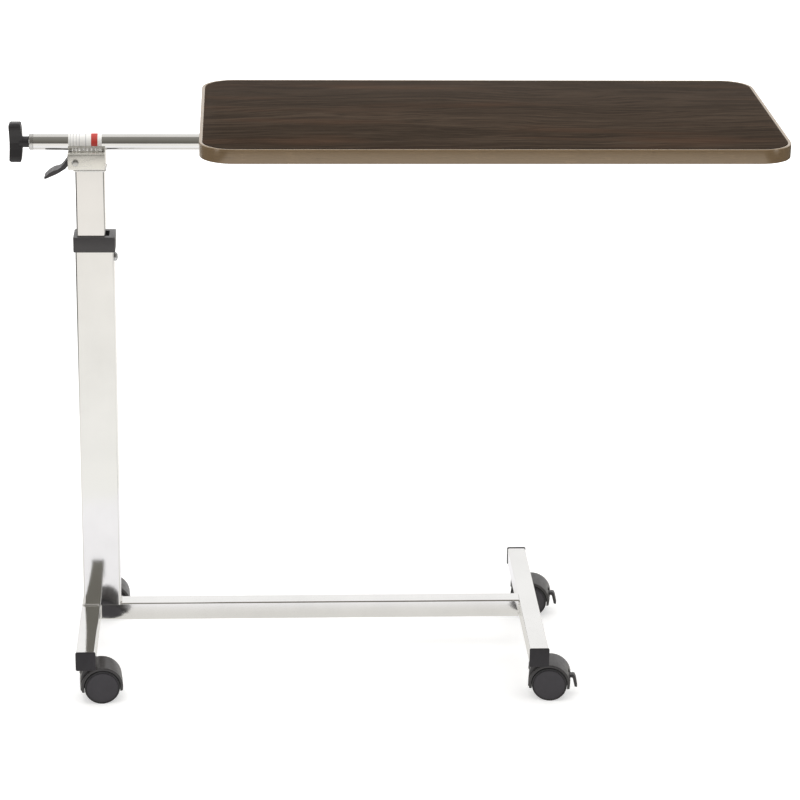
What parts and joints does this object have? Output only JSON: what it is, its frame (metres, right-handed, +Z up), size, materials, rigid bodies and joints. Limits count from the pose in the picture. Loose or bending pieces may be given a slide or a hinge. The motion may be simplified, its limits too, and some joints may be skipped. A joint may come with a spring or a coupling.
{
  "type": "overbed table",
  "caption": "Overbed table on a wheeled base, with an offset telescoping column raised by a gas spring and a rectangular cantilevered top that tilts about a side rail.",
  "frame": {"origin": "on the floor under the centre of the overall bounding box, which reaches from the lock knob to the free end of the top", "axes": "+X from the column towards the free end of the top, -Y faces the user's near edge of the top, +Z up"},
  "size_m": [1.015, 0.381, 0.7834],
  "materials": {
    "chrome": "bright chromium plate on steel tube",
    "zinc_steel": "zinc plated, satin",
    "black_steel": "black paint, semi-gloss",
    "dark_plastic": "moulded, fine texture, dark grey",
    "wheel_plastic": "moulded, semi-gloss, dark grey",
    "nylon": "natural nylon",
    "brass": "turned",
    "walnut_laminate": "dark walnut grain, satin laminate",
    "core_board": "chipboard with plain backing",
    "edge_moulding": "bronze beige moulding, satin",
    "label": "blank coated label",
    "fibre": "vulcanised fibre"
  },
  "bodies": {
    "base": {"left_foot_tube": "chrome", "right_foot_tube": "chrome", "base_beam": "chrome", "outer_column": "chrome", "column_collar": "dark_plastic", "collar_screw": "zinc_steel", "column_base_plug": "dark_plastic", "gas_spring_cylinder": "black_steel", "end_plug_front_left": "dark_plastic", "end_plug_rear_left": "dark_plastic", "end_plug_front_right": "dark_plastic", "end_plug_rear_right": "dark_plastic", "caster_stem_front_left": "zinc_steel", "caster_stem_front_right": "zinc_steel", "caster_stem_rear_left": "zinc_steel", "caster_stem_rear_right": "zinc_steel"},
    "mast": {"mast_tube": "chrome", "mast_lower_glide": "nylon", "head_box": "chrome", "gas_spring_rod": "zinc_steel", "lever_pivot_pin": "zinc_steel", "rail_tube": "chrome", "rail_end_ferrule": "chrome", "rail_thrust_plug": "zinc_steel", "rail_label": "label"},
    "release_lever": {"release_lever": "dark_plastic"},
    "release_pin": {"release_pin": "zinc_steel"},
    "top": {"tilt_bracket_left": "zinc_steel", "tilt_bracket_right": "zinc_steel", "tilt_bush_left": "nylon", "tilt_bush_right": "nylon", "tilt_tie_rod": "zinc_steel", "tilt_friction_washer": "fibre", "tabletop_core": "core_board", "tabletop_laminate": "walnut_laminate", "edge_moulding": "edge_moulding", "bracket_screw_left_front": "zinc_steel", "bracket_screw_left_rear": "zinc_steel", "bracket_screw_right_front": "zinc_steel", "bracket_screw_right_rear": "zinc_steel"},
    "knob": {"tilt_knob": "dark_plastic", "knob_insert": "brass"},
    "caster_front_left": {"caster_hood_front_left": "dark_plastic", "caster_axle_front_left": "zinc_steel"},
    "wheel_front_left_a": {"caster_wheel_front_left_a": "wheel_plastic"},
    "wheel_front_left_b": {"caster_wheel_front_left_b": "wheel_plastic"},
    "caster_front_right": {"caster_hood_front_right": "dark_plastic", "caster_axle_front_right": "zinc_steel"},
    "wheel_front_right_a": {"caster_wheel_front_right_a": "wheel_plastic"},
    "wheel_front_right_b": {"caster_wheel_front_right_b": "wheel_plastic"},
    "brake_front_right": {"brake_pedal_front_right": "dark_plastic"},
    "caster_rear_left": {"caster_hood_rear_left": "dark_plastic", "caster_axle_rear_left": "zinc_steel"},
    "wheel_rear_left_a": {"caster_wheel_rear_left_a": "wheel_plastic"},
    "wheel_rear_left_b": {"caster_wheel_rear_left_b": "wheel_plastic"},
    "caster_rear_right": {"caster_hood_rear_right": "dark_plastic", "caster_axle_rear_right": "zinc_steel"},
    "wheel_rear_right_a": {"caster_wheel_rear_right_a": "wheel_plastic"},
    "wheel_rear_right_b": {"caster_wheel_rear_right_b": "wheel_plastic"},
    "brake_rear_right": {"brake_pedal_rear_right": "dark_plastic"}
  },
  "joints": [
    {"name": "mast_lift", "type": "slide", "parent": "base", "child": "mast", "axis": [0, 0, 1], "range_m": [-0.088, 0.29]},
    {"name": "top_tilt", "type": "hinge", "parent": "mast", "child": "top", "pos_m": [-0.3975, 0, 0.744], "axis": [1, 0, 0], "range_deg": [-35, 35]},
    {"name": "knob_turn", "type": "hinge", "parent": "mast", "child": "knob", "pos_m": [-0.4975, 0, 0.744], "axis": [1, 0, 0], "range_deg": [-360, 0]},
    {"name": "lever_pull", "type": "hinge", "parent": "mast", "child": "release_lever", "pos_m": [-0.4201, 0, 0.7204], "axis": [0, 1, 0], "range_deg": [0, 11], "stiffness_Nm_per_rad": 0.3, "springref_deg": -2.86},
    {"name": "pin_press", "type": "slide", "parent": "mast", "child": "release_pin", "axis": [0, 0, -1], "range_m": [0, 0.004]},
    {"name": "swivel_front_left", "type": "hinge", "parent": "base", "child": "caster_front_left", "pos_m": [-0.413, -0.142, 0.05], "axis": [0, 0, 1], "continuous": true},
    {"name": "spin_front_left_a", "type": "hinge", "parent": "caster_front_left", "child": "wheel_front_left_a", "pos_m": [-0.39407, -0.14034, 0.024], "axis": [-0.0872, 0.9962, 0], "continuous": true},
    {"name": "spin_front_left_b", "type": "hinge", "parent": "caster_front_left", "child": "wheel_front_left_b", "pos_m": [-0.39407, -0.14034, 0.024], "axis": [-0.0872, 0.9962, 0], "continuous": true},
    {"name": "swivel_front_right", "type": "hinge", "parent": "base", "child": "caster_front_right", "pos_m": [0.2, -0.142, 0.05], "axis": [0, 0, 1], "continuous": true},
    {"name": "spin_front_right_a", "type": "hinge", "parent": "caster_front_right", "child": "wheel_front_right_a", "pos_m": [0.21886, -0.14432, 0.024], "axis": [0.1219, 0.9925, 0], "continuous": true},
    {"name": "spin_front_right_b", "type": "hinge", "parent": "caster_front_right", "child": "wheel_front_right_b", "pos_m": [0.21886, -0.14432, 0.024], "axis": [0.1219, 0.9925, 0], "continuous": true},
    {"name": "brake_front_right_press", "type": "hinge", "parent": "caster_front_right", "child": "brake_front_right", "pos_m": [0.23821, -0.14669, 0.029], "axis": [0.1219, 0.9925, 0], "range_deg": [0, 12]},
    {"name": "swivel_rear_left", "type": "hinge", "parent": "base", "child": "caster_rear_left", "pos_m": [-0.413, 0.142, 0.05], "axis": [0, 0, 1], "continuous": true},
    {"name": "spin_rear_left_a", "type": "hinge", "parent": "caster_rear_left", "child": "wheel_rear_left_a", "pos_m": [-0.39403, 0.14299, 0.024], "axis": [-0.0523, 0.9986, 0], "continuous": true},
    {"name": "spin_rear_left_b", "type": "hinge", "parent": "caster_rear_left", "child": "wheel_rear_left_b", "pos_m": [-0.39403, 0.14299, 0.024], "axis": [-0.0523, 0.9986, 0], "continuous": true},
    {"name": "swivel_rear_right", "type": "hinge", "parent": "base", "child": "caster_rear_right", "pos_m": [0.2, 0.142, 0.05], "axis": [0, 0, 1], "continuous": true},
    {"name": "spin_rear_right_a", "type": "hinge", "parent": "caster_rear_right", "child": "wheel_rear_right_a", "pos_m": [0.21882, 0.13936, 0.024], "axis": [0.1392, 0.9903, 0], "continuous": true},
    {"name": "spin_rear_right_b", "type": "hinge", "parent": "caster_rear_right", "child": "wheel_rear_right_b", "pos_m": [0.21882, 0.13936, 0.024], "axis": [0.1392, 0.9903, 0], "continuous": true},
    {"name": "brake_rear_right_press", "type": "hinge", "parent": "caster_rear_right", "child": "brake_rear_right", "pos_m": [0.23813, 0.13664, 0.029], "axis": [0.1392, 0.9903, 0], "range_deg": [0, 12]}
  ],
  "couplings": [
    {"joint": "pin_press", "follows": "lever_pull", "m_per_rad": 0.0184}
  ]
}
